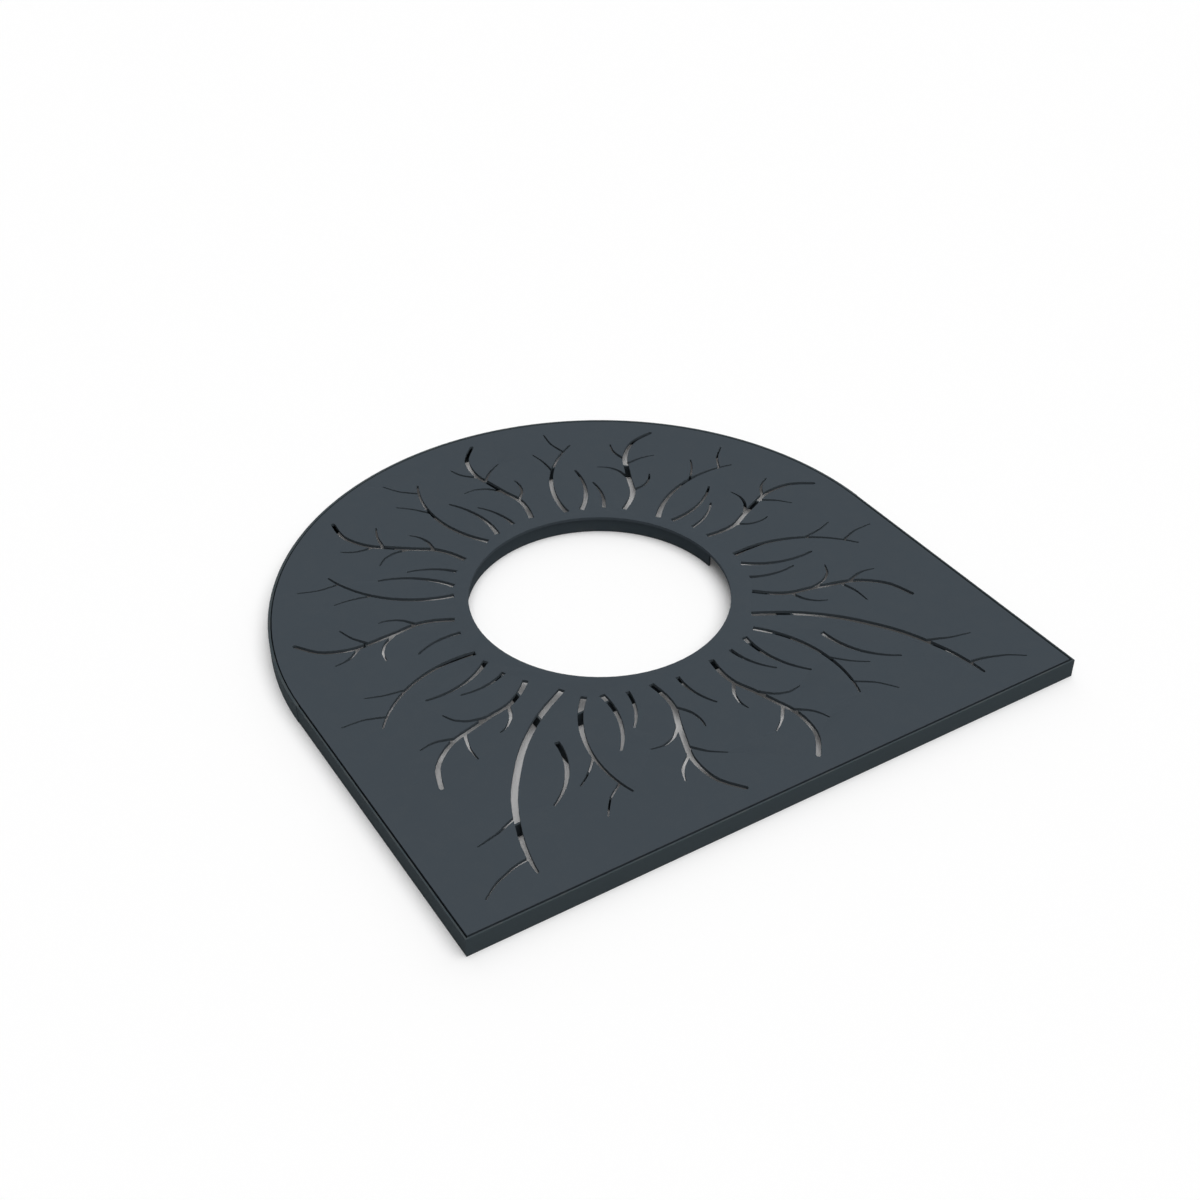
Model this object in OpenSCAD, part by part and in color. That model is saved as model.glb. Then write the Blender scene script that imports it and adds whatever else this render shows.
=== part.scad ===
// Tree grate with one square half and one round half, in its ground frame
// X runs right along the straight front edge, Y to the curved back, Z up
// The origin is on the ground under the middle of the tree opening

/* [Frame] */
// Outside width of the curved half, and depth of the whole grate
frame_w = 1500; // [1350:10:1700]
// Height of the frame, flush with the top of the plate
frame_h = 46; // [36:1:60]
// How far the straight sides stand in from the curved half at the joint
side_step = 1; // [0:0.5:3]
// Thickness of the curved bar
curved_t = 6; // [5:0.5:8]
// Thickness of the upright leg of the straight angles
straight_t = 4; // [3:0.5:6]
// Thickness of the seat that the panel rests on
seat_t = 4; // [3:0.5:8]
// Width of the seat, from the frame's outside inwards
seat_w = 45; // [35:1:70]
// Clearance between the plate and the curved bar
curved_gap = 2.5; // [1.5:0.5:5]
// Clearance between the plate and the front angle
front_gap = 4; // [2:0.5:8]

/* [Plate] */
// Thickness of the plate
plate_t = 8; // [6:1:12]
// Radius of the tree opening
hole_r = 300; // [260:5:340]

/* [Ribs] */
// Thickness of every flat bar under the plate
rib_t = 5; // [4:0.5:8]
// Recess of the inner ring behind the edge of the opening
ring_recess = 5; // [2:0.5:12]
// Height of the inner ring's lower edge above the ground
ring_lift = 1; // [0:0.5:4]
// Distance from the plate's edge in to the edge bars
edge_inset = 10; // [6:1:16]
// Distance from the plate's curved edge in to the half hoop
hoop_inset = 194; // [160:2:230]
// Distance from the side of the opening to the middle of a long bar
long_rib_off = 30; // [20:1:50]
// Distance from the front of the opening to the middle of the centre cross bar
cross_rib_off = 24; // [15:1:50]
// Distance from the plate's front edge to the middle of the front side bars
side_rib_off = 204; // [150:2:240]

/* [Slots] */
// Distance from the opening to the circle that the slots grow from
root_gap = 43; // [35:1:60]
// Distance from the plate's curved edge to the tips of the longest slots
tip_gap = 41; // [30:1:60]
// Angle between two repeats of the pattern in the round half
pitch = 39.1; // [38:0.1:40]
// Width of the tree slots at the root
tree_w = 13; // [9:0.5:16]
// Width of the bough slots at the root
bough_w = 14; // [9:0.5:17]
// Width of the long sprig slots at the root
sprig_w = 13.5; // [9:0.5:16]
// Width of the short sprig slots at the root
bud_w = 10; // [7:0.5:13]
// Width of the thickest twigs at their root
twig_w = 8.5; // [5:0.5:11]
// Width of the fine twigs at their root
fine_w = 6.5; // [4:0.5:9]
// Width of the finest tips
tip_w = 3.5; // [2.5:0.5:5]

/* [Hidden] */
// Half the outside width, which is the radius of the curved half
arc_r = frame_w / 2;
// Outside of the straight sides
side_x = arc_r - side_step;
// Outside of the front
front_y = arc_r;
// The plate's radius, which is also half its width
plate_r = min(arc_r - curved_t, side_x - straight_t) - curved_gap;
// The plate's front edge
plate_y = front_y - straight_t - front_gap;
// Underside of the plate
rib_top = frame_h - plate_t;
// Outer and inner faces of the edge bars
edge_out = plate_r - edge_inset;
edge_in = edge_out - rib_t;
edge_front = plate_y - edge_inset;
// Inner face of the ring and of the half hoop
ring_in = hole_r + ring_recess;
hoop_in = plate_r - hoop_inset - rib_t;
// Middle lines of the bars
long_x = hole_r + long_rib_off;
cross_y = hole_r + cross_rib_off;
side_rib_y = plate_y - side_rib_off;
// Circle that the slots grow from
root_r = hole_r + root_gap;
// Widths of each form at its root, in its middle and at its tip
tree_ws = [tree_w, 1.03 * tree_w, 0.78 * tree_w];
bough_ws = [bough_w, 0.67 * bough_w, 1.45 * tip_w];
sprig_ws = [sprig_w, 0.68 * sprig_w, 1.75 * tip_w];
bud_ws = [bud_w, 0.71 * bud_w, 1.45 * tip_w];
corner_tree_ws = [1.2 * tree_w, 1.18 * tree_w, 1.75 * tip_w];
corner_sprig_ws = [0.94 * tree_w, 0.72 * tree_w, 1.55 * tip_w];
twig_ws = [twig_w, 0.75 * twig_w, tip_w];
fine_ws = [fine_w, 0.8 * fine_w, tip_w];
// Steps of a curve between two of its points, and round a slot's tip
steps = 3;
tip_steps = 3;
// How far a cut runs past what it cuts
past = 1;
// Facets of the large circles
$fn = 180;

steel = [0.26, 0.285, 0.31];
steel_dark = [0.2, 0.22, 0.24];

// Curves

// One point of the smooth curve that runs through b and c
function spline(a, b, c, d, t) =
    0.5 * (2 * b + (c - a) * t + (2 * a - 5 * b + 4 * c - d) * t * t + (3 * b - 3 * c + d - a) * t * t * t);

// The smooth curve through all the points
function smooth(p) = [
    for (i = [0 : len(p) - 2], j = [0 : steps - 1])
        spline(p[max(i - 1, 0)], p[i], p[i + 1], p[min(i + 2, len(p) - 1)], j / steps),
    p[len(p) - 1]
];

// An arc from the origin along X, with its middle this far to the left
function bow(chord, rise, n) =
    let (r = (chord * chord / 4 + rise * rise) / (2 * rise), half = asin(chord / 2 / r))
    [for (i = [0 : n]) let (a = half * (2 * i / n - 1))
        [chord / 2 + r * sin(a), r * cos(a) - r + rise]];

// Direction of a curve at one of its points
function heading(p, i) =
    let (v = p[min(i + 1, len(p) - 1)] - p[max(i - 1, 0)]) v / norm(v);

// Point beside the curve, to the left for a positive offset
function beside(p, i, off) = let (v = heading(p, i)) p[i] + off * [-v[1], v[0]];

// Half the width at a point, from the root width through the middle width to the tip width
function half_w(w, s) = (s < 0.5 ? w[0] + (w[1] - w[0]) * 2 * s : w[1] + (w[2] - w[1]) * (2 * s - 1)) / 2;

// A strip along a curve, square at the root and round at the tip
module strip(p, w) {
    n = len(p) - 1;
    v = heading(p, n);
    a = atan2(v[1], v[0]) - 90;
    r = half_w(w, 1);
    polygon(concat(
        [for (i = [0 : n]) beside(p, i, -half_w(w, i / n))],
        [for (i = [1 : tip_steps - 1]) let (b = a + 180 * i / tip_steps) p[n] + r * [cos(b), sin(b)]],
        [for (i = [n : -1 : 0]) beside(p, i, half_w(w, i / n))]
    ));
}

// Slot forms, each with its root at the origin and growing along X

tree_spine = [[0, 0], [42, -6], [85, -3], [130, 15], [183, 33], [225, 46], [268, 47], [313, 35], [357, 0]];
// Length of the tree slot as its points are drawn
form_len = tree_spine[len(tree_spine) - 1][0];
// Stretch of every form from its points to its real size
k = (plate_r - tip_gap - root_r) / form_len;
tree_twigs = [
    [[89, -6], [110, -22], [129, -29], [149, -31], [166, -28]],
    [[138, 21], [162, 46], [172, 69], [174, 83], [171, 106]],
    [[199, 38], [220, 20], [235, 5], [254, -24]],
    [[220, 45], [240, 71], [258, 85], [281, 94]]
];

// Lengthens a form and moves its middle to the left
function drawn(p, stretch, swell) =
    k * [for (q = p) [q[0] * stretch, q[1] + swell * sin(180 * q[0] / form_len)]];

module tree(stretch, swell) {
    strip(smooth(drawn(tree_spine, stretch, swell)), tree_ws);
    for (t = tree_twigs) strip(smooth(drawn(t, stretch, swell)), twig_ws);
}

module bough() {
    strip(bow(301 * k, 43 * k, 18), bough_ws);
    strip(smooth(k * [[181, 41], [209, 57], [231, 72], [254, 93]]), fine_ws);
    strip(smooth(k * [[270, 15], [293, 37], [313, 52], [351, 69]]), fine_ws);
}

module sprig() strip(bow(175 * k, -18.5 * k, 11), sprig_ws);

module bud() strip(bow(113.5 * k, -10 * k, 8), bud_ws);

corner_spine = [[0, 0], [85, 39], [171, 62], [244, 69], [335, 67], [433, 45], [497, 19], [526, 3]];

module corner_tree() {
    strip(smooth(k * corner_spine), corner_tree_ws);
    strip(smooth(k * [[384, 59], [409, 76], [431, 90], [468, 123]]), twig_ws);
    strip(smooth(k * [[489, 20], [513, 46], [544, 68], [564, 80], [599, 92]]), twig_ws);
}

module corner_sprig() strip(bow(183 * k, -23.5 * k, 11), corner_sprig_ws);

// Puts a form on the root circle at an angle, a little further out and turned from the radius
module at_root(angle, out, turn) rotate(angle) translate([root_r + out * k, 0]) rotate(turn) children();

module round_half_slots() {
    for (i = [0 : 4]) {
        at_root(9.1 + i * pitch, -2.7, -1.7) tree(1, -4.6);
        at_root(17.5 + i * pitch, -1, 14.8) bud();
    }
    for (i = [0 : 3]) {
        at_root(26.8 + i * pitch, -7, -2.1) sprig();
        at_root(33 + i * pitch, -10.5, -14.3) bough();
    }
}

module square_side_slots() {
    at_root(-7.1, 5.5, -15.2) bough();
    at_root(-13.1, 6, -3.1) sprig();
    at_root(-22.3, 8.6, 13.4) bud();
    at_root(-31.2, 6, -1.9) tree(1.02, -0.8);
    at_root(-45, 7.4, -9.6) corner_tree();
    at_root(-48.3, 170, -9.7) corner_sprig();
    at_root(-53, 22.3, -24.3) bough();
    at_root(-58.9, 15.6, -12.3) sprig();
    at_root(-67.8, 9.5, 3.2) bud();
    at_root(-76.8, -1.2, -11.3) tree(1.02, -1.4);
}

module slots() {
    round_half_slots();
    square_side_slots();
    mirror([1, 0]) square_side_slots();
    at_root(-92.7, -0.5, 15.1) bud();
}

// Frame

// Half of a flat ring behind the line y = start
module half_ring(r_in, r_out, z_low, z_high, start = 0) {
    intersection() {
        translate([0, 0, z_low]) difference() {
            cylinder(r = r_out, h = z_high - z_low);
            translate([0, 0, -past]) cylinder(r = r_in, h = z_high - z_low + 2 * past);
        }
        translate([-r_out - past, start, z_low - past])
            cube([2 * (r_out + past), r_out + past, z_high - z_low + 2 * past]);
    }
}

module frame_arc() color(steel) half_ring(arc_r - curved_t, arc_r, 0, frame_h);

module seat_arc() color(steel_dark) half_ring(arc_r - seat_w, arc_r - curved_t, 0, seat_t);

// Cross-section of an angle, with its outside on the line x = 0
module angle_section() {
    square([straight_t, frame_h]);
    square([seat_w, seat_t]);
}

// An angle along Y with its outside on x = 0, from y = 0 to the front, with a mitred front end
module side_angle() {
    difference() {
        rotate([90, 0, 0]) linear_extrude(front_y) angle_section();
        translate([0, -front_y, -past]) rotate(45) translate([-past, -2 * seat_w, 0])
            cube([2 * seat_w, 2 * seat_w, frame_h + 2 * past]);
    }
}

module frame_left() color(steel) translate([-side_x, 0, 0]) side_angle();

module frame_right() color(steel) mirror([1, 0, 0]) translate([-side_x, 0, 0]) side_angle();

// One leg of the front angle, between these depths from the front face, mitred at both ends
module front_leg(near, far, h) {
    translate([0, -front_y, 0]) linear_extrude(h) polygon([
        [near - side_x, near], [side_x - near, near], [side_x - far, far], [far - side_x, far]
    ]);
}

module frame_front() color(steel) front_leg(0, straight_t, frame_h);

// The flat leg of the front angle, which carries the rim of the panel
module seat_front() color(steel) front_leg(straight_t, seat_w, seat_t);

// Panel

module plate_outline() {
    intersection() {
        circle(plate_r);
        translate([-plate_r, 0]) square([2 * plate_r, plate_r]);
    }
    translate([-plate_r, -plate_y]) square([2 * plate_r, plate_y]);
}

module plate() {
    color(steel) translate([0, 0, rib_top]) linear_extrude(plate_t) difference() {
        plate_outline();
        circle(hole_r);
        slots();
    }
}

module ring_rib() color(steel_dark) half_ring(ring_in, ring_in + rib_t, ring_lift, rib_top);

module hoop_rib() color(steel_dark) half_ring(hoop_in, hoop_in + rib_t, seat_t, rib_top, rib_t);

// A flat bar on edge between two opposite corners of its plan
module bar(x1, y1, x2, y2) {
    color(steel_dark) translate([x1, y1, seat_t]) cube([x2 - x1, y2 - y1, rib_top - seat_t]);
}

module long_rib_right() bar(long_x - rib_t / 2, -edge_front + rib_t, long_x + rib_t / 2, 0);

module long_rib_left() mirror([1, 0, 0]) long_rib_right();

module cross_rib_centre() {
    bar(rib_t / 2 - long_x, -cross_y - rib_t / 2, long_x - rib_t / 2, -cross_y + rib_t / 2);
}

// Runs from the end of the long bar to where its back corner meets the curved edge bar
module side_rib_mid_right() bar(long_x - rib_t / 2, 0, sqrt(edge_in * edge_in - rib_t * rib_t), rib_t);

module side_rib_mid_left() mirror([1, 0, 0]) side_rib_mid_right();

module side_rib_front_right() {
    bar(long_x + rib_t / 2, -side_rib_y - rib_t / 2, edge_in, -side_rib_y + rib_t / 2);
}

module side_rib_front_left() mirror([1, 0, 0]) side_rib_front_right();

module edge_rib_arc() color(steel_dark) half_ring(edge_in, edge_out, seat_t, rib_top);

module edge_rib_right() bar(edge_in, -edge_front, edge_out, 0);

module edge_rib_left() mirror([1, 0, 0]) edge_rib_right();

module edge_rib_front() bar(-edge_in, -edge_front, edge_in, -edge_front + rib_t);

frame_arc();
seat_arc();
frame_left();
frame_right();
frame_front();
seat_front();
plate();
ring_rib();
hoop_rib();
long_rib_left();
long_rib_right();
cross_rib_centre();
side_rib_mid_left();
side_rib_mid_right();
side_rib_front_left();
side_rib_front_right();
edge_rib_arc();
edge_rib_left();
edge_rib_right();
edge_rib_front();
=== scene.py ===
"""Finish, welds and studio of a tree grate with one square half and one round half."""

import math

import bmesh
import bpy
from bpy.props import FloatProperty, FloatVectorProperty, IntProperty, PointerProperty
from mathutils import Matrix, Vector
from mathutils.bvhtree import BVHTree


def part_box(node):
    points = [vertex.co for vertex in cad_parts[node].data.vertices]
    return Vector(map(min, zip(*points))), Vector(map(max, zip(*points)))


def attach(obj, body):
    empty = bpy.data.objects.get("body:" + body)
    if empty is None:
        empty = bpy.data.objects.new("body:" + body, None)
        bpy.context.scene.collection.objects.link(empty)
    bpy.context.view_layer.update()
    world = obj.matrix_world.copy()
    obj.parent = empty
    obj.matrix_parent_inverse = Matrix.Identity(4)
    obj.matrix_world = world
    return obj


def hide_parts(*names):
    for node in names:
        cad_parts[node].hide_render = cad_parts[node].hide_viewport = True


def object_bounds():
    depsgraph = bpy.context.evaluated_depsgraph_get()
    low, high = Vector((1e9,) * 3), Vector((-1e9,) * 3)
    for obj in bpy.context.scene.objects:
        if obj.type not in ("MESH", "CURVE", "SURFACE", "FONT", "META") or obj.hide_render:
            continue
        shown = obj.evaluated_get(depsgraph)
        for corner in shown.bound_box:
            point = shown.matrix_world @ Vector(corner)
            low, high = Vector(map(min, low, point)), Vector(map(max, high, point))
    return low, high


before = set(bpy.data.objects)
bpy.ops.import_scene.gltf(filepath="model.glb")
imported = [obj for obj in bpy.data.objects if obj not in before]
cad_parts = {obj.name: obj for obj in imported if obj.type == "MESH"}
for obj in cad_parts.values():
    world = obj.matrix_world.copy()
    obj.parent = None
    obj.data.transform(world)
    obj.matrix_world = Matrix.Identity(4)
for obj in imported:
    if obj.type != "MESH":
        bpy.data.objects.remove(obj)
CAD_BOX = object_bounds()

bl_info = {
    "name": "Tree grate",
    "version": (1, 0, 0),
    "blender": (4, 5, 0),
    "location": "View3D > Sidebar > Tree grate",
    "description": "Powder coat, rounded edges, welds and studio of a tree grate",
    "category": "Object",
}

FRAME_NODES = ("frame_arc", "seat_arc", "frame_left", "frame_right")
BAR_NODES = (
    "ring_rib", "hoop_rib", "long_rib_left", "long_rib_right", "cross_rib_centre",
    "side_rib_mid_left", "side_rib_mid_right", "side_rib_front_left", "side_rib_front_right",
    "edge_rib_arc", "edge_rib_left", "edge_rib_right", "edge_rib_front",
)
BAR_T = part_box("edge_rib_front")[1][1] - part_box("edge_rib_front")[0][1]
STRAIGHT_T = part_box("frame_front")[1][1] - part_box("frame_front")[0][1]
# How far the straight sides of the frame stand inside the half width of the round half
SIDE_INSET = CAD_BOX[1][0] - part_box("frame_right")[1][0]

WHITE = (1, 1, 1, 1)
UPRIGHT = math.pi / 2

# Points this near to each other are one point, and this near to a joint lie in it
SAME_POINT = 0.00002
NEAR_JOINT = 0.0002
# Widths of the plate at its opening and at its rim where a wall is no slot's wall and gets no painted light
OPENING_EDGE = 0.008
RIM_EDGE = 0.004

# Where a stitch goes when its first place is under a slot, along a bar and in radians along an arc
BAR_SHIFTS = (0, 0.012, -0.012, 0.024, -0.024, 0.036, -0.036)
ARC_SHIFTS = (0, 0.03, -0.03, 0.06, -0.06, 0.09, -0.09)
# Stitches along each curved bar and the angle kept free at both of its ends
ARC_STITCHES = {"ring_rib": (9, 0.08), "hoop_rib": (12, 0.06), "edge_rib_arc": (16, 0.04)}
SEAT_STITCHES = 14
# Least whole plate round a stitch and round an upright bead, and the bead's own width
STITCH_CLEAR = 0.004
BEAD_CLEAR = 0.003
BEAD_WIDTH = 0.006
BEAD_RIPPLES = 5
# Middle of the upright welds in the frame, and the small welds where two seats meet
CORNER_WELD_Z = 0.02
DAB_LENGTH = 0.01
DAB_SIZE = 0.8
DAB_RIPPLES = 3
DAB_INSET = 0.0065

# Each light's direction and the angle that it fills, in degrees
LIGHTS = {
    "main_light": {"azimuth": -72.8, "elevation": 71.8, "width": 67.0},
    "side_light": {"azimuth": 48.6, "elevation": 25.0, "width": 97.0},
}
FLOOR_SIZE = 30
LIGHT_DISTANCE = 4
ZENITH_POWER = 7.0
SENSOR_WIDTH = 36


# ---------------------------------------------------------------- settings

class GrateCoatSettings(bpy.types.PropertyGroup):
    """Colours and texture of the powder coat"""

    plate_color: FloatVectorProperty(
        name="Plate colour", description="Powder coat on the plate", subtype="COLOR",
        size=3, min=0, max=1, default=(0.0528, 0.065, 0.0767))
    frame_color: FloatVectorProperty(
        name="Frame colour", description="Powder coat on the ground frame", subtype="COLOR",
        size=3, min=0, max=1, default=(0.0485, 0.062, 0.0695))
    bar_color: FloatVectorProperty(
        name="Bar colour", description="Powder coat on the bars under the plate", subtype="COLOR",
        size=3, min=0, max=1, default=(0.042, 0.054, 0.063))
    rim_color: FloatVectorProperty(
        name="Rim colour", description="Thin coat where an edge has been rubbed", subtype="COLOR",
        size=3, min=0, max=1, default=(0.085, 0.1, 0.115))
    # Lighter than the plate coat: the slot walls' coat with painted light, which stands in for light that
    # falls into the slots
    wall_coat_and_painted_light: FloatVectorProperty(
        name="Slot wall coat and painted light", description="Powder coat on the cut walls of the slots", subtype="COLOR",
        size=3, min=0, max=1, default=(0.082, 0.1, 0.115))
    dust_color: FloatVectorProperty(
        name="Dust colour", description="Dust that settles on ledges", subtype="COLOR",
        size=3, min=0, max=1, default=(0.14, 0.13, 0.115))
    peel_size: FloatProperty(
        name="Peel size", description="Width of one dimple of the coat", unit="LENGTH",
        min=0.0005, max=0.01, default=0.0028)
    grain_size: FloatProperty(
        name="Grain size", description="Width of the fine grain in the coat", unit="LENGTH",
        min=0.0002, max=0.003, default=0.0007)


class GrateEdgeSettings(bpy.types.PropertyGroup):
    """Rounding of the steel's edges"""

    plate_round: FloatProperty(
        name="Plate edges", description="Rounding of the plate's cut edges", unit="LENGTH",
        min=0.0001, max=0.002, default=0.0006)
    frame_round: FloatProperty(
        name="Frame edges", description="Rounding of the frame's edges", unit="LENGTH",
        min=0.0001, max=0.002, default=0.0008)
    bar_round: FloatProperty(
        name="Bar edges", description="Rounding of the bars' edges", unit="LENGTH",
        min=0.0001, max=0.002, default=0.0005)
    root_round: FloatProperty(
        name="Angle root", description="Fillet inside the straight angles", unit="LENGTH",
        min=0.0005, max=0.008, default=0.004)


class GrateWeldSettings(bpy.types.PropertyGroup):
    """Stitch welds under the plate and in the frame"""

    leg: FloatProperty(
        name="Leg", description="Size of a fillet weld", unit="LENGTH",
        min=0.001, max=0.006, default=0.0032)
    length: FloatProperty(
        name="Length", description="Length of one stitch", unit="LENGTH",
        min=0.01, max=0.08, default=0.032)
    spacing: FloatProperty(
        name="Spacing", description="Distance between two stitches", unit="LENGTH",
        min=0.05, max=0.4, default=0.13)
    ripples: IntProperty(
        name="Ripples", description="Ripples in one stitch", min=3, max=16, default=7)
    bead: FloatProperty(
        name="Upright bead", description="Height of the welds in upright corners", unit="LENGTH",
        min=0.01, max=0.03, default=0.024)


class GrateStageSettings(bpy.types.PropertyGroup):
    """Floor, light and camera"""

    floor_color: FloatVectorProperty(
        name="Floor colour", description="Pale floor", subtype="COLOR",
        size=3, min=0, max=1, default=(0.995, 0.995, 0.995))
    floor_bounce: FloatProperty(
        name="Floor bounce", description="Share of light that the floor throws back at the grate",
        min=0, max=1, default=0.707)
    shadow_lift: FloatProperty(
        name="Shadow lift", description="Share of the floor's seen brightness that no shadow takes away",
        min=0, max=1, default=0.055)
    dome: FloatProperty(
        name="Dome", description="Brightness of the dome all round", min=0, max=2, default=0.108)
    zenith: FloatProperty(
        name="Zenith", description="Extra brightness of the dome straight overhead",
        min=0, max=4, default=0.7)
    main_light: FloatProperty(
        name="Main light", description="Strength of the large soft light overhead",
        min=0, max=10, default=2.083)
    side_light: FloatProperty(
        name="Side light", description="Strength of the broad low light behind on the right",
        min=0, max=10, default=0.723)
    lens: FloatProperty(
        name="Lens", description="Focal length of the camera", unit="CAMERA",
        min=10, max=200, default=50.2)
    eye: FloatVectorProperty(
        name="Eye", description="Where the camera stands", subtype="TRANSLATION",
        size=3, default=(-1.6029, -2.5860, 2.3648))
    target: FloatVectorProperty(
        name="Target", description="What the camera looks at", subtype="TRANSLATION",
        size=3, default=(0.0162, 0.0247, 0.0003))


# ---------------------------------------------------------------- mesh helpers

def pick(obj):
    """Leaves only this object selected and active, in object mode"""
    if bpy.context.object and bpy.context.object.mode != "OBJECT":
        bpy.ops.object.mode_set(mode="OBJECT")
    bpy.ops.object.select_all(action="DESELECT")
    obj.select_set(True)
    bpy.context.view_layer.objects.active = obj


def select_edges(obj, test):
    """Selects the edges that pass a test, in edit mode"""
    bpy.ops.mesh.select_mode(type="EDGE")
    bpy.ops.mesh.select_all(action="DESELECT")
    edit = bmesh.from_edit_mesh(obj.data)
    for edge in edit.edges:
        if len(edge.link_faces) == 2:
            edge.select = bool(test(edge))
    edit.select_flush_mode()
    bmesh.update_edit_mesh(obj.data)


def round_edges(obj, width, fillet=0.0, keep=None):
    """Merges loose triangles and rounds the sharp edges of a piece, and notes which points are rounded"""
    pick(obj)
    bpy.ops.object.mode_set(mode="EDIT")
    bpy.ops.mesh.select_all(action="SELECT")
    bpy.ops.mesh.remove_doubles(threshold=SAME_POINT)
    bpy.ops.mesh.dissolve_limited(angle_limit=math.radians(0.4))
    if fillet:
        select_edges(obj, lambda e: e.calc_face_angle_signed() < -1 and not (keep and keep(e)))
        bpy.ops.mesh.bevel(offset=fillet, segments=5, profile=0.5)
    select_edges(obj, lambda e: e.calc_face_angle_signed() > 0.6 and not (keep and keep(e)))
    bpy.ops.mesh.bevel(offset=width, segments=2, profile=0.5, clamp_overlap=False)
    edit = bmesh.from_edit_mesh(obj.data)
    rim = edit.verts.layers.float.new("rim")
    for vert in edit.verts:
        vert[rim] = float(bool(vert.link_faces) and all(face.select for face in vert.link_faces))
    bmesh.update_edit_mesh(obj.data)
    bpy.ops.object.mode_set(mode="OBJECT")
    bpy.ops.object.shade_smooth_by_angle(angle=math.radians(20))


def rounded_copy(node, name, width, fillet=0.0, keep=None):
    """Merged copy of a CAD node with its sharp edges rounded, which stands for the node"""
    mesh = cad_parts[node].data.copy()
    mesh.materials.clear()
    obj = bpy.data.objects.new(name, mesh)
    bpy.context.collection.objects.link(obj)
    round_edges(obj, width, fillet, keep)
    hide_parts(node)
    return obj


def at_joint(edge):
    """Whether an edge lies in a mitre or in a butt joint of the frame, which are ground flush"""
    a, b = (vert.co for vert in edge.verts)
    mitre = a.x * b.x > 0 and all(abs(abs(p.x) + SIDE_INSET + p.y) < NEAR_JOINT for p in (a, b))
    butt = all(abs(p.y) < NEAR_JOINT / 2 for p in (a, b))
    return mitre or butt


def front_angle(name, upright, flat):
    """The angle along the front, an upright with its flat leg drawn out of its foot, mitred at both ends"""
    low, high = (Vector(corner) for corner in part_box(upright))
    reach = Vector(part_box(flat)[1])
    bpy.ops.object.select_all(action="DESELECT")
    bpy.ops.mesh.primitive_cube_add(size=1, location=(low + high) / 2, scale=high - low)
    obj = bpy.context.object
    obj.name = name
    bpy.ops.object.transform_apply(location=True, rotation=True, scale=True)
    bpy.ops.object.mode_set(mode="EDIT")
    bpy.ops.mesh.select_all(action="SELECT")
    bpy.ops.mesh.bisect(plane_co=(0, 0, reach.z), plane_no=(0, 0, 1))
    bpy.ops.mesh.select_mode(type="FACE")
    bpy.ops.mesh.select_all(action="DESELECT")
    edit = bmesh.from_edit_mesh(obj.data)
    for face in edit.faces:
        face.select = face.normal.y > 0.9 and face.calc_center_median().z < reach.z
    bmesh.update_edit_mesh(obj.data)
    bpy.ops.mesh.extrude_region_move(TRANSFORM_OT_translate={"value": (0, reach.y - high.y, 0)})
    for side in (-1, 1):
        bpy.ops.mesh.select_all(action="SELECT")
        bpy.ops.mesh.bisect(
            plane_co=(side * high.x, low.y, 0), plane_no=(side, 1, 0), clear_outer=True, use_fill=True)
    bpy.ops.object.mode_set(mode="OBJECT")
    return obj


def finish(obj, body, material):
    """Gives a piece its body and its material"""
    obj.data.materials.clear()
    obj.data.materials.append(material)
    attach(obj, body)


# ---------------------------------------------------------------- node groups

def new_group(name, inputs, outputs):
    """Empty node group with named sockets"""
    tree = bpy.data.node_groups.new(name, "ShaderNodeTree")
    for title, kind, value in inputs:
        tree.interface.new_socket(title, in_out="INPUT", socket_type=kind).default_value = value
    for title, kind in outputs:
        tree.interface.new_socket(title, in_out="OUTPUT", socket_type=kind)
    return tree, tree.nodes.new("NodeGroupInput"), tree.nodes.new("NodeGroupOutput")


def math_node(tree, operation, a, b=None, clamp=False):
    """Math node whose inputs are sockets or numbers"""
    node = tree.nodes.new("ShaderNodeMath")
    node.operation = operation
    node.use_clamp = clamp
    for socket, value in zip(node.inputs, (a, b)):
        if isinstance(value, bpy.types.NodeSocket):
            tree.links.new(value, socket)
        elif value is not None:
            socket.default_value = value
    return node.outputs[0]


def noise_node(tree, vector, scale, detail=2.0, rough=0.5):
    """Noise value at a number of cells per metre"""
    node = tree.nodes.new("ShaderNodeTexNoise")
    node.inputs["Detail"].default_value = detail
    node.inputs["Roughness"].default_value = rough
    tree.links.new(vector, node.inputs["Vector"])
    if isinstance(scale, bpy.types.NodeSocket):
        tree.links.new(scale, node.inputs["Scale"])
    else:
        node.inputs["Scale"].default_value = scale
    return node.outputs["Fac"]


def range_node(tree, value, low, high, out_low=0.0, out_high=1.0):
    """Smooth step of a value between two limits"""
    node = tree.nodes.new("ShaderNodeMapRange")
    node.interpolation_type = "SMOOTHSTEP"
    tree.links.new(value, node.inputs["Value"])
    for title, number in (("From Min", low), ("From Max", high), ("To Min", out_low), ("To Max", out_high)):
        if isinstance(number, bpy.types.NodeSocket):
            tree.links.new(number, node.inputs[title])
        else:
            node.inputs[title].default_value = number
    return node.outputs["Result"]


def blend_node(tree, fac, a, b):
    """Colour between two colours"""
    node = tree.nodes.new("ShaderNodeMix")
    node.data_type = "RGBA"
    tree.links.new(fac, node.inputs["Factor"])
    tree.links.new(a, node.inputs["A"])
    tree.links.new(b, node.inputs["B"])
    return node.outputs["Result"]


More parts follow.
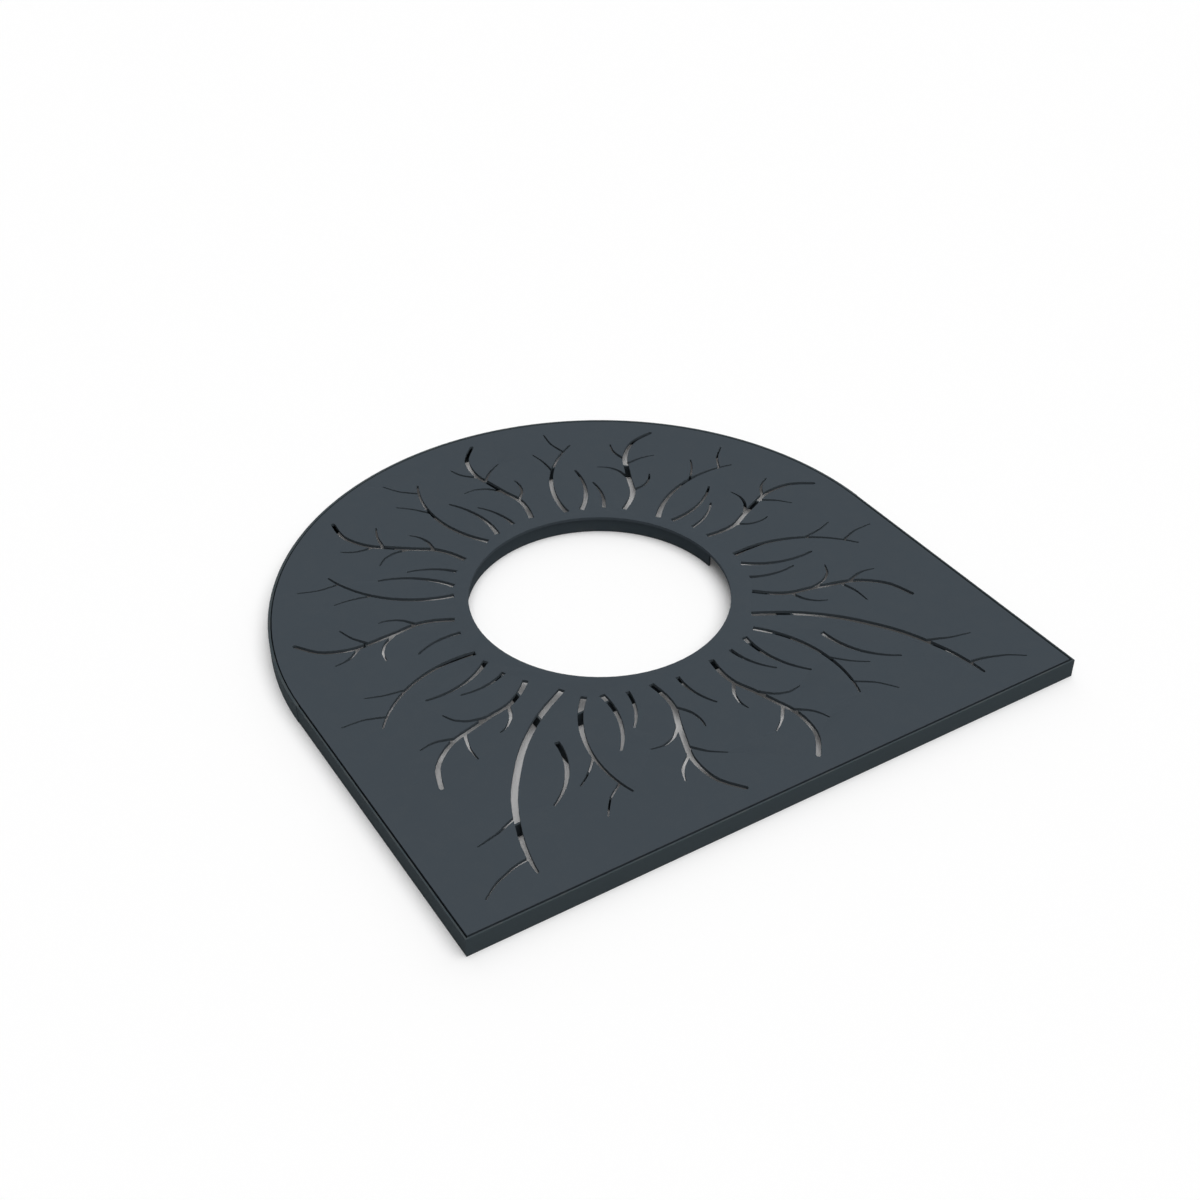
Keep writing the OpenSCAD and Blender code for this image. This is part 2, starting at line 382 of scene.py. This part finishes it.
def coat_texture_group():
    """Dimples and fine grain of a powder coat"""
    tree, entry, leave = new_group(
        "Coat texture",
        [("Peel size", "NodeSocketFloat", 0.0028), ("Grain size", "NodeSocketFloat", 0.0007)],
        [("Height", "NodeSocketFloat"), ("Grain", "NodeSocketFloat")])
    place = tree.nodes.new("ShaderNodeTexCoord").outputs["Object"]
    peel = noise_node(tree, place, math_node(tree, "DIVIDE", 1.0, entry.outputs["Peel size"]), 1.0)
    grain = noise_node(tree, place, math_node(tree, "DIVIDE", 1.0, entry.outputs["Grain size"]), 2.0)
    coarse = math_node(tree, "MULTIPLY", peel, 0.75)
    fine = math_node(tree, "MULTIPLY", grain, 0.25)
    tree.links.new(math_node(tree, "ADD", coarse, fine), leave.inputs["Height"])
    tree.links.new(grain, leave.inputs["Grain"])
    return tree


def coat_tone_group():
    """Colour and roughness of a powder coat, with rubbed edges and a lighter colour painted on the cut
    walls as painted light
    """
    tree, entry, leave = new_group(
        "Coat tone",
        [("Color", "NodeSocketColor", (0.04, 0.05, 0.06, 1)),
         ("Rim color", "NodeSocketColor", (0.1, 0.11, 0.12, 1)),
         ("Wall coat and painted light", "NodeSocketColor", (0.1, 0.11, 0.12, 1)),
         ("Variation", "NodeSocketFloat", 0.04), ("Rim wear", "NodeSocketFloat", 0.5),
         ("Roughness", "NodeSocketFloat", 0.45)],
        [("Color", "NodeSocketColor"), ("Roughness", "NodeSocketFloat")])
    coord = tree.nodes.new("ShaderNodeTexCoord")
    place = coord.outputs["Object"]
    cloud = noise_node(tree, place, 5.0, 3.0)
    mottle = noise_node(tree, place, 140.0, 2.0)
    broad = math_node(tree, "MULTIPLY", cloud, 0.6)
    small = math_node(tree, "MULTIPLY", mottle, 0.4)
    both = math_node(tree, "ADD", broad, small)
    swing = math_node(tree, "MULTIPLY", math_node(tree, "SUBTRACT", both, 0.5), 4.0)
    gain = math_node(tree, "ADD", math_node(tree, "MULTIPLY", swing, entry.outputs["Variation"]), 1.0)
    tint = tree.nodes.new("ShaderNodeVectorMath")
    tint.operation = "SCALE"
    tree.links.new(entry.outputs["Color"], tint.inputs[0])
    tree.links.new(gain, tint.inputs["Scale"])
    rim = tree.nodes.new("ShaderNodeAttribute")
    rim.attribute_name = "rim"
    patch = range_node(tree, noise_node(tree, place, 45.0, 3.0, 0.6), 0.42, 0.62)
    rubbed_rim = math_node(tree, "MULTIPLY", rim.outputs["Fac"], patch)
    worn = math_node(tree, "MULTIPLY", rubbed_rim, entry.outputs["Rim wear"], True)
    rubbed = blend_node(tree, worn, tint.outputs[0], entry.outputs["Rim color"])
    # Painted light: upright faces of the cut slot walls take a lighter colour, which stands in for light
    # falling on them
    cut = tree.nodes.new("ShaderNodeAttribute")
    cut.attribute_name = "cut"
    split = tree.nodes.new("ShaderNodeSeparateXYZ")
    tree.links.new(coord.outputs["Normal"], split.inputs[0])
    upright = range_node(tree, math_node(tree, "ABSOLUTE", split.outputs["Z"]), 0.3, 0.8, 1.0, 0.0)
    wall = math_node(tree, "MULTIPLY", cut.outputs["Fac"], upright)
    tree.links.new(blend_node(tree, wall, rubbed, entry.outputs["Wall coat and painted light"]), leave.inputs["Color"])
    rough = math_node(tree, "ADD", entry.outputs["Roughness"], math_node(tree, "MULTIPLY", swing, 0.03))
    polish = math_node(tree, "MULTIPLY", worn, 0.12)
    tree.links.new(math_node(tree, "SUBTRACT", rough, polish, True), leave.inputs["Roughness"])
    return tree


def settled_dust_group():
    """Thin dust on faces that look up, thicker towards the ground"""
    tree, entry, leave = new_group(
        "Settled dust",
        [("Color", "NodeSocketColor", (0.04, 0.05, 0.06, 1)),
         ("Dust color", "NodeSocketColor", (0.14, 0.13, 0.12, 1)),
         ("Roughness", "NodeSocketFloat", 0.45), ("On ledges", "NodeSocketFloat", 0.2),
         ("Near ground", "NodeSocketFloat", 0.2), ("Reach", "NodeSocketFloat", 0.02)],
        [("Color", "NodeSocketColor"), ("Roughness", "NodeSocketFloat")])
    coord = tree.nodes.new("ShaderNodeTexCoord")
    up = tree.nodes.new("ShaderNodeSeparateXYZ")
    tree.links.new(coord.outputs["Normal"], up.inputs[0])
    high = tree.nodes.new("ShaderNodeSeparateXYZ")
    tree.links.new(coord.outputs["Object"], high.inputs[0])
    drift = range_node(tree, noise_node(tree, coord.outputs["Object"], 28.0, 4.0, 0.6), 0.4, 0.7)
    level = range_node(tree, up.outputs["Z"], 0.5, 1.0)
    ledge = math_node(tree, "MULTIPLY", level, entry.outputs["On ledges"])
    above = range_node(tree, high.outputs["Z"], 0.0, entry.outputs["Reach"])
    low = math_node(tree, "SUBTRACT", 1.0, above)
    splash = math_node(tree, "MULTIPLY", low, entry.outputs["Near ground"])
    dust = math_node(tree, "MULTIPLY", math_node(tree, "ADD", ledge, splash), drift, True)
    dusty = blend_node(tree, dust, entry.outputs["Color"], entry.outputs["Dust color"])
    tree.links.new(dusty, leave.inputs["Color"])
    duller = math_node(tree, "MULTIPLY", dust, 0.4)
    rough = math_node(tree, "ADD", entry.outputs["Roughness"], duller, True)
    tree.links.new(rough, leave.inputs["Roughness"])
    return tree


def seen_rays(tree):
    """1 for a ray from the camera, from a shiny surface or through a clear one, otherwise 0"""
    rays = tree.nodes.new("ShaderNodeLightPath")
    seen = rays.outputs["Is Camera Ray"]
    for kind in ("Is Glossy Ray", "Is Transmission Ray"):
        seen = math_node(tree, "MAXIMUM", seen, rays.outputs[kind])
    return seen


def group_named(name, build):
    """The node group of this name, built the first time it is asked for"""
    return bpy.data.node_groups.get(name) or build()


def coat_material(name, color, rough, variation, wear, ledge, ground, peel=1.0):
    """Matt powder coat with its own values in the shared groups"""
    coat = bpy.context.scene.grate_coat
    material = bpy.data.materials.new(name)
    material.use_nodes = True
    tree = material.node_tree
    shader = tree.nodes["Principled BSDF"]

    def place(title, build, values):
        node = tree.nodes.new("ShaderNodeGroup")
        node.node_tree = group_named(title, build)
        for socket, value in values.items():
            node.inputs[socket].default_value = value
        return node

    tone = place("Coat tone", coat_tone_group, {
        "Color": (*color, 1), "Rim color": (*coat.rim_color, 1), "Wall coat and painted light": (*coat.wall_coat_and_painted_light, 1),
        "Variation": variation, "Rim wear": wear, "Roughness": rough})
    dust = place("Settled dust", settled_dust_group, {
        "Dust color": (*coat.dust_color, 1), "On ledges": ledge, "Near ground": ground})
    texture = place("Coat texture", coat_texture_group, {
        "Peel size": coat.peel_size * peel, "Grain size": coat.grain_size})
    bump = tree.nodes.new("ShaderNodeBump")
    bump.inputs["Strength"].default_value = 0.5
    bump.inputs["Distance"].default_value = 0.00006 * peel
    tree.links.new(tone.outputs["Color"], dust.inputs["Color"])
    tree.links.new(tone.outputs["Roughness"], dust.inputs["Roughness"])
    tree.links.new(dust.outputs["Color"], shader.inputs["Base Color"])
    tree.links.new(dust.outputs["Roughness"], shader.inputs["Roughness"])
    tree.links.new(texture.outputs["Height"], bump.inputs["Height"])
    tree.links.new(bump.outputs["Normal"], shader.inputs["Normal"])
    shader.inputs["Specular IOR Level"].default_value = 0.01
    return material


# ---------------------------------------------------------------- welds

def weld_stitch(length, leg, ripples):
    """One stitch along X, a rod with ripples and drawn-in ends, that sits half in the corner it fills"""
    bpy.ops.object.select_all(action="DESELECT")
    bpy.ops.mesh.primitive_cylinder_add(
        vertices=8, radius=leg, depth=length, end_fill_type="TRIFAN", rotation=(0, UPRIGHT, 0))
    obj = bpy.context.object
    bpy.ops.object.transform_apply(location=True, rotation=True, scale=True)
    bpy.ops.object.mode_set(mode="EDIT")
    step = length / (2 * ripples)
    for i in range(1, 2 * ripples):
        bpy.ops.mesh.select_all(action="SELECT")
        bpy.ops.mesh.bisect(plane_co=(i * step - length / 2, 0, 0), plane_no=(1, 0, 0))
    edit = bmesh.from_edit_mesh(obj.data)
    for vert in edit.verts:
        i = round((vert.co.x + length / 2) / step)
        vert.select = i % 2 == 1
    bmesh.update_edit_mesh(obj.data)
    bpy.ops.mesh.select_mode(type="VERT")
    ripple, draw_in = 1.12, 0.6
    bpy.ops.transform.resize(value=(1, ripple, ripple), center_override=(0, 0, 0))
    for side in (-1, 1):
        bpy.ops.mesh.select_all(action="DESELECT")
        edit = bmesh.from_edit_mesh(obj.data)
        for vert in edit.verts:
            vert.select = vert.co.x * side > length / 2 - step / 2
        edit.select_flush(True)
        bmesh.update_edit_mesh(obj.data)
        bpy.ops.transform.resize(value=(1, draw_in, draw_in), center_override=(side * length / 2, 0, 0))
    bpy.ops.object.mode_set(mode="OBJECT")
    bpy.ops.object.shade_smooth_by_angle(angle=math.radians(60))
    return obj


def lay_welds(name, template, places, body, material):
    """Copies a stitch to each place, a point with the two angles of its run, and joins the copies"""
    copies = []
    for x, y, z, turn, pitch in places:
        copy = template.copy()
        copy.data = template.data.copy()
        copy.location = (x, y, z)
        copy.rotation_euler = (0, pitch, turn)
        bpy.context.collection.objects.link(copy)
        copies.append(copy)
    bpy.ops.object.select_all(action="DESELECT")
    for copy in copies:
        copy.select_set(True)
    bpy.context.view_layer.objects.active = copies[0]
    if len(copies) > 1:
        bpy.ops.object.join()
    obj = bpy.context.object
    bpy.ops.object.transform_apply(location=True, rotation=True, scale=True)
    obj.name = name
    finish(obj, body, material)
    return obj


def plate_cover(clearance):
    """Test of whether the plate is whole above a stitch and this far round it"""
    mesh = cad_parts["plate"].data
    tree = BVHTree.FromPolygons([v.co for v in mesh.vertices], [tuple(p.vertices) for p in mesh.polygons])
    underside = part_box("plate")[0][2]
    from_below, slack = underside / 2, 0.0005

    def covered(x, y, turn, length):
        along = Vector((math.cos(turn), math.sin(turn)))
        across = Vector((-along.y, along.x))
        for s in (-0.5, -0.25, 0, 0.25, 0.5):
            for t in (-1, 0, 1):
                spot = Vector((x, y)) + along * s * (length + clearance) + across * t * clearance
                hit = tree.ray_cast(Vector((spot.x, spot.y, from_below)), Vector((0, 0, 1)))
                if hit[0] is None or hit[0].z > underside + slack:
                    return False
        return True
    return covered


# ---------------------------------------------------------------- operators

class GRATE_OT_plate(bpy.types.Operator):
    """Rounds the cut edges of the plate and coats it"""

    bl_idname = "grate.plate"
    bl_label = "Plate"

    def execute(self, context):
        coat = context.scene.grate_coat
        material = coat_material(
            "Plate coat", coat.plate_color, rough=0.65, variation=0.02, wear=0.2, ledge=0.02, ground=0.0)
        skin = rounded_copy("plate", "plate_skin", context.scene.grate_edges.plate_round)
        low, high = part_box("plate")
        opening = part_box("ring_rib")[1][0] - OPENING_EDGE
        side, front = high[0] - RIM_EDGE, low[1] + RIM_EDGE
        # Marks the cut slot walls, whose coat gets painted light; the opening's edge, the outer rim and the
        # front stay unmarked
        cut = skin.data.attributes.new("cut", "FLOAT", "POINT")
        for vert, value in zip(skin.data.vertices, cut.data):
            reach = math.hypot(vert.co.x, vert.co.y)
            across = reach if vert.co.y > 0 else abs(vert.co.x)
            value.value = float(reach > opening and across < side and vert.co.y > front)
        finish(skin, "panel", material)
        return {"FINISHED"}


class GRATE_OT_ground_frame(bpy.types.Operator):
    """Rounds the edges of the ground frame and coats it"""

    bl_idname = "grate.ground_frame"
    bl_label = "Ground frame"

    def execute(self, context):
        coat, edges = context.scene.grate_coat, context.scene.grate_edges
        material = coat_material(
            "Frame coat", coat.frame_color, rough=0.65, variation=0.03, wear=0.25, ledge=0.2, ground=0.08)
        for node in FRAME_NODES:
            root = edges.root_round if node in ("frame_left", "frame_right") else 0.0
            skin = rounded_copy(node, node + "_skin", edges.frame_round, root, at_joint)
            finish(skin, "ground_frame", material)
        skin = front_angle("frame_front_skin", "frame_front", "seat_front")
        round_edges(skin, edges.frame_round, edges.root_round, at_joint)
        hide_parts("frame_front", "seat_front")
        finish(skin, "ground_frame", material)
        return {"FINISHED"}


class GRATE_OT_bars(bpy.types.Operator):
    """Rounds the edges of the bars under the plate and coats them"""

    bl_idname = "grate.bars"
    bl_label = "Bars"

    def execute(self, context):
        coat = context.scene.grate_coat
        material = coat_material(
            "Bar coat", coat.bar_color, rough=0.7, variation=0.06, wear=0.2, ledge=0.25, ground=0.15)
        for node in BAR_NODES:
            skin = rounded_copy(node, node + "_skin", context.scene.grate_edges.bar_round)
            finish(skin, "panel", material)
        return {"FINISHED"}


class GRATE_OT_panel_welds(bpy.types.Operator):
    """Lays stitch welds where the bars meet the plate and each other"""

    bl_idname = "grate.panel_welds"
    bl_label = "Panel welds"

    def execute(self, context):
        weld, coat = context.scene.grate_welds, context.scene.grate_coat
        material = coat_material(
            "Weld coat", coat.bar_color,
            rough=0.42, variation=0.08, wear=0.0, ledge=0.2, ground=0.0, peel=0.8)
        stitch = weld_stitch(weld.length, weld.leg, weld.ripples)
        covered = plate_cover(STITCH_CLEAR)
        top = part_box("plate")[0][2]

        def along_bar(node, along_x):
            low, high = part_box(node)
            axis = 0 if along_x else 1
            mid = (low[1 - axis] + high[1 - axis]) / 2
            half = (high[1 - axis] - low[1 - axis]) / 2
            length = high[axis] - low[axis]
            count = max(2, round(length / weld.spacing))
            places = []
            for i in range(count):
                side = 1 if i % 2 else -1
                for shift in BAR_SHIFTS:
                    s = low[axis] + length * (i + 0.5) / count + shift
                    x, y = (s, mid + side * half) if axis == 0 else (mid + side * half, s)
                    turn = 0 if axis == 0 else UPRIGHT
                    if covered(x, y, turn, weld.length):
                        places.append((x, y, top, turn, 0))
                        break
            return places

        def along_arc(radius, count, free):
            start, end = free, math.pi - free
            places = []
            for i in range(count):
                for shift in ARC_SHIFTS:
                    a = start + (end - start) * (i + 0.5) / count + shift
                    x, y = radius * math.cos(a), radius * math.sin(a)
                    if covered(x, y, a + UPRIGHT, weld.length):
                        places.append((x, y, top, a + UPRIGHT, 0))
                        break
            return places

        ring_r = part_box("ring_rib")[1][0]
        hoop_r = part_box("hoop_rib")[1][0]
        edge_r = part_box("edge_rib_arc")[1][0] - BAR_T
        runs = {
            "ring_welds": along_arc(ring_r, *ARC_STITCHES["ring_rib"]),
            "hoop_welds": along_arc(hoop_r, *ARC_STITCHES["hoop_rib"]),
            "edge_arc_welds": along_arc(edge_r, *ARC_STITCHES["edge_rib_arc"]),
        }
        for node in BAR_NODES:
            if node not in ARC_STITCHES:
                low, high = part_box(node)
                along_x = high[0] - low[0] > high[1] - low[1]
                runs[node.replace("_rib", "") + "_welds"] = along_bar(node, along_x)
        for name, places in runs.items():
            if places:
                lay_welds(name, stitch, places, "panel", material)
        bpy.data.objects.remove(stitch)
        return {"FINISHED"}


class GRATE_OT_joint_welds(bpy.types.Operator):
    """Lays upright welds in the corners where one bar ends on another"""

    bl_idname = "grate.joint_welds"
    bl_label = "Joint welds"

    def execute(self, context):
        weld, coat = context.scene.grate_welds, context.scene.grate_coat
        material = coat_material(
            "Joint weld coat", coat.bar_color,
            rough=0.6, variation=0.08, wear=0.0, ledge=0.2, ground=0.0, peel=0.8)
        long_low, long_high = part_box("long_rib_right")
        cross_low, cross_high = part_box("cross_rib_centre")
        side_low, side_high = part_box("side_rib_front_right")
        mid_low, mid_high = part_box("side_rib_mid_right")
        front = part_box("edge_rib_front")[1][1]
        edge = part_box("edge_rib_right")[0][0]
        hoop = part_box("hoop_rib")[1][0]
        corners = [(long_low[0], y) for y in (cross_low[1], cross_high[1], front)]
        corners += [(long_high[0], y) for y in (mid_low[1], front)]
        corners += [(x, y) for x in (long_high[0], edge) for y in (side_low[1], side_high[1])]
        corners += [(edge, mid_low[1]), (edge, front)]
        corners += [(x, mid_high[1]) for x in (hoop - BAR_T, hoop)]
        height = (long_low[2] + long_high[2]) / 2
        covered = plate_cover(BEAD_CLEAR)
        bead = weld_stitch(weld.bead, weld.leg, BEAD_RIPPLES)
        places = [
            (side * x, y, height, 0, UPRIGHT)
            for side in (-1, 1) for x, y in corners if covered(side * x, y, 0, BEAD_WIDTH)]
        lay_welds("bar_joint_welds", bead, places, "panel", material)
        bpy.data.objects.remove(bead)
        return {"FINISHED"}


class GRATE_OT_frame_welds(bpy.types.Operator):
    """Lays the welds of the ground frame, along its curved seat, in its corners and at its butt joints"""

    bl_idname = "grate.frame_welds"
    bl_label = "Frame welds"

    def execute(self, context):
        weld, coat = context.scene.grate_welds, context.scene.grate_coat
        material = coat_material(
            "Frame weld coat", coat.frame_color,
            rough=0.6, variation=0.08, wear=0.0, ledge=0.25, ground=0.1, peel=0.8)
        seat_r, _, seat_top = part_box("seat_arc")[1]
        stitch = weld_stitch(weld.length, weld.leg, weld.ripples)
        angles = [math.pi * (i + 0.5) / SEAT_STITCHES for i in range(SEAT_STITCHES)]
        seat = [(seat_r * math.cos(a), seat_r * math.sin(a), seat_top, a + UPRIGHT, 0) for a in angles]
        lay_welds("seat_welds", stitch, seat, "ground_frame", material)
        bpy.data.objects.remove(stitch)

        inner_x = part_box("frame_right")[1][0] - STRAIGHT_T
        inner_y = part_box("frame_front")[0][1] + STRAIGHT_T
        bead = weld_stitch(weld.bead, weld.leg, BEAD_RIPPLES)
        upright = [
            (side * inner_x, y, CORNER_WELD_Z, 0, UPRIGHT) for side in (-1, 1) for y in (inner_y, 0.0)]
        lay_welds("corner_welds", bead, upright, "ground_frame", material)
        bpy.data.objects.remove(bead)

        dab = weld_stitch(DAB_LENGTH, weld.leg * DAB_SIZE, DAB_RIPPLES)
        out = inner_x - DAB_INSET
        mitre_y, diagonal = inner_y + DAB_INSET, math.pi / 4
        flat = [(side * out, 0.0, seat_top, 0, 0) for side in (-1, 1)]
        flat += [(side * out, mitre_y, seat_top, -side * diagonal, 0) for side in (-1, 1)]
        lay_welds("seat_joint_welds", dab, flat, "ground_frame", material)
        bpy.data.objects.remove(dab)
        return {"FINISHED"}


class GRATE_OT_stage(bpy.types.Operator):
    """Sets up the floor, the light and the camera"""

    bl_idname = "grate.stage"
    bl_label = "Stage"

    def execute(self, context):
        stage = context.scene.grate_stage
        lay_floor(stage)
        context.scene.world = studio_dome(stage)
        hang_lights({"main_light": stage.main_light, "side_light": stage.side_light})
        context.scene.camera = set_camera(stage)
        context.scene.view_settings.view_transform = "Standard"
        return {"FINISHED"}


def lay_floor(stage):
    """Large pale floor, which is darker to the rays that light the grate from below"""
    bpy.ops.object.select_all(action="DESELECT")
    bpy.ops.mesh.primitive_plane_add(size=FLOOR_SIZE)
    floor = bpy.context.object
    floor.name = "floor"
    material = bpy.data.materials.new("Floor")
    material.use_nodes = True
    tree = material.node_tree
    shader = tree.nodes["Principled BSDF"]
    seen = seen_rays(tree)
    shaded = 1 - stage.shadow_lift
    tone = tree.nodes.new("ShaderNodeMix")
    tone.data_type = "RGBA"
    tone.inputs["A"].default_value = (stage.floor_bounce,) * 3 + (1,)
    tone.inputs["B"].default_value = (*(value * shaded for value in stage.floor_color), 1)
    tree.links.new(seen, tone.inputs["Factor"])
    tree.links.new(tone.outputs["Result"], shader.inputs["Base Color"])
    lift = math_node(tree, "MULTIPLY", seen, stage.shadow_lift)
    tree.links.new(lift, shader.inputs["Emission Strength"])
    shader.inputs["Emission Color"].default_value = WHITE
    shader.inputs["Roughness"].default_value = 1.0
    shader.inputs["Specular IOR Level"].default_value = 0.0
    floor.data.materials.append(material)


def studio_dome(stage):
    """Dome that is brightest overhead, and plain white to the rays that see it"""
    world = bpy.data.worlds.new("Studio dome")
    world.use_nodes = True
    tree = world.node_tree
    sky = tree.nodes["Background"]
    split = tree.nodes.new("ShaderNodeSeparateXYZ")
    tree.links.new(tree.nodes.new("ShaderNodeTexCoord").outputs["Generated"], split.inputs[0])
    height = math_node(tree, "MAXIMUM", split.outputs["Z"], 0.0)
    over = math_node(tree, "MULTIPLY", math_node(tree, "POWER", height, ZENITH_POWER), stage.zenith)
    light = math_node(tree, "ADD", over, stage.dome)
    rest = math_node(tree, "MULTIPLY", math_node(tree, "SUBTRACT", 1.0, light), seen_rays(tree))
    tree.links.new(math_node(tree, "ADD", light, rest), sky.inputs["Strength"])
    sky.inputs["Color"].default_value = WHITE
    return world


def hang_lights(strengths):
    """Broad, soft lights from the directions in LIGHTS"""
    for name, strength in strengths.items():
        light = LIGHTS[name]
        turn, rise = math.radians(light["azimuth"]), math.radians(light["elevation"])
        level = math.cos(rise)
        toward = Vector((level * math.cos(turn), level * math.sin(turn), math.sin(rise)))
        facing = toward.to_track_quat("Z", "Y").to_euler()
        bpy.ops.object.light_add(type="SUN", location=toward * LIGHT_DISTANCE, rotation=facing)
        sun = bpy.context.object
        sun.name = name
        sun.data.energy = strength
        sun.data.angle = math.radians(light["width"])


def set_camera(stage):
    """Camera at the eye that looks at the target"""
    target, eye = Vector(stage.target), Vector(stage.eye)
    facing = (target - eye).to_track_quat("-Z", "Y").to_euler()
    bpy.ops.object.camera_add(location=eye, rotation=facing)
    camera = bpy.context.object
    camera.data.lens = stage.lens
    camera.data.sensor_width = SENSOR_WIDTH
    return camera


class GRATE_PT_panel(bpy.types.Panel):
    """Sizes, colours and pieces of the tree grate"""

    bl_idname = "GRATE_PT_panel"
    bl_label = "Tree grate"
    bl_space_type = "VIEW_3D"
    bl_region_type = "UI"
    bl_category = "Tree grate"

    def draw(self, context):
        for settings in ("grate_coat", "grate_edges", "grate_welds", "grate_stage"):
            group = getattr(context.scene, settings)
            box = self.layout.box()
            for title in group.__annotations__:
                box.prop(group, title)
        for operator in OPERATORS:
            self.layout.operator(operator.bl_idname)


SETTINGS = {
    "grate_coat": GrateCoatSettings,
    "grate_edges": GrateEdgeSettings,
    "grate_welds": GrateWeldSettings,
    "grate_stage": GrateStageSettings,
}
OPERATORS = (
    GRATE_OT_plate, GRATE_OT_ground_frame, GRATE_OT_bars, GRATE_OT_panel_welds, GRATE_OT_joint_welds,
    GRATE_OT_frame_welds, GRATE_OT_stage)


def register():
    for settings in SETTINGS.values():
        bpy.utils.register_class(settings)
    for title, settings in SETTINGS.items():
        setattr(bpy.types.Scene, title, PointerProperty(type=settings))
    for cls in (*OPERATORS, GRATE_PT_panel):
        bpy.utils.register_class(cls)


def unregister():
    for cls in (GRATE_PT_panel, *reversed(OPERATORS)):
        bpy.utils.unregister_class(cls)
    for title in reversed(SETTINGS):
        delattr(bpy.types.Scene, title)
    for settings in reversed(SETTINGS.values()):
        bpy.utils.unregister_class(settings)


def main():
    """Makes every piece in order"""
    register()
    bpy.ops.grate.plate()
    bpy.ops.grate.ground_frame()
    bpy.ops.grate.bars()
    bpy.ops.grate.panel_welds()
    bpy.ops.grate.joint_welds()
    bpy.ops.grate.frame_welds()
    bpy.ops.grate.stage()


if __name__ == "__main__":
    main()
